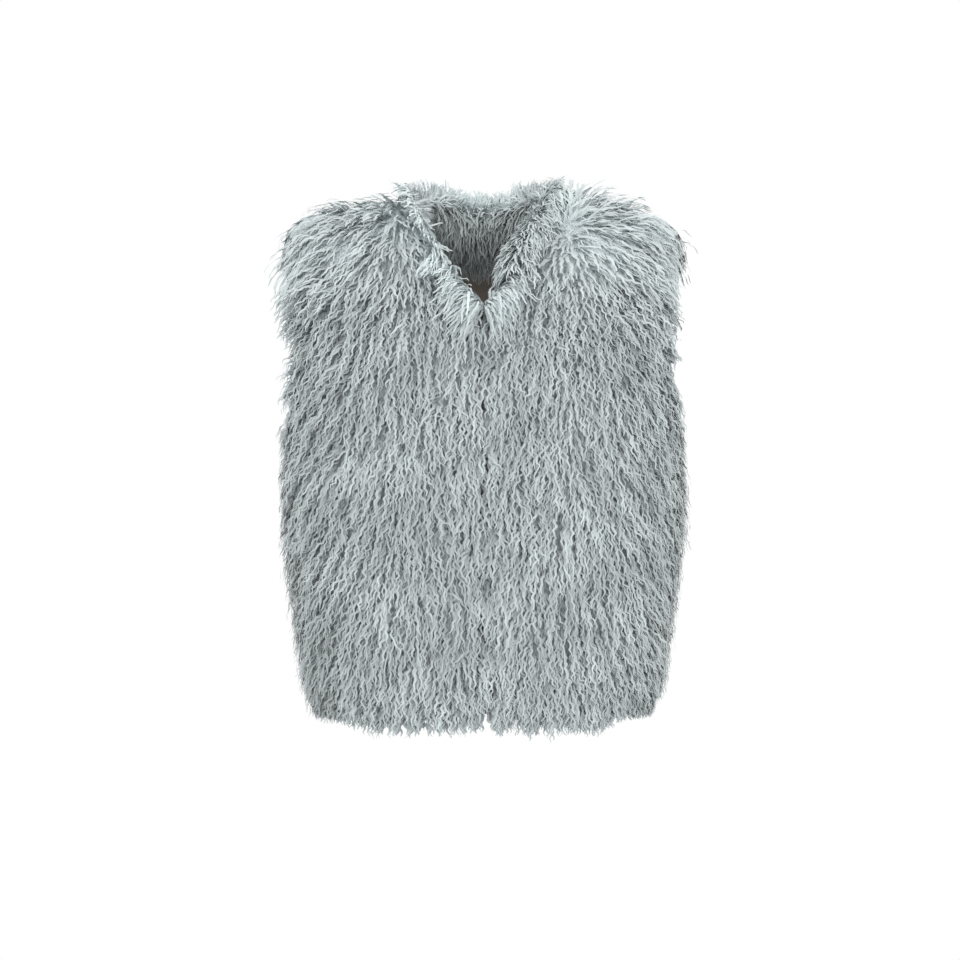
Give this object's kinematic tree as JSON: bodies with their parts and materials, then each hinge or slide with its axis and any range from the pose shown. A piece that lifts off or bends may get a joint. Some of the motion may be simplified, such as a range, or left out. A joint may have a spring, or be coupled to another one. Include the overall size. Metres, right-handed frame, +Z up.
{
  "type": "faux fur vest (women's sleeveless gilet, worn hollow form)",
  "caption": "Sleeveless shaggy faux fur vest in its worn hollow form, with a stand fur collar, open V neck, armholes and hem, and a smooth lining.",
  "frame": {"origin": "midway between the neck ends of the two shoulder seams, on the inner face of the cloth, where the wearer's shoulders carry the vest", "axes": "+Z up along the wearer's height, -Y out of the chest, +X towards the wearer's left"},
  "size_m": [0.4447, 0.2843, 0.5685],
  "materials": {
    "fur": "matte long pile",
    "lining": "satin"
  },
  "bodies": {
    "root": {"front_right": "fur", "front_left": "fur", "back": "fur", "collar": "fur", "lining_front_right": "lining", "lining_front_left": "lining", "lining_back": "lining"}
  },
  "joints": []
}
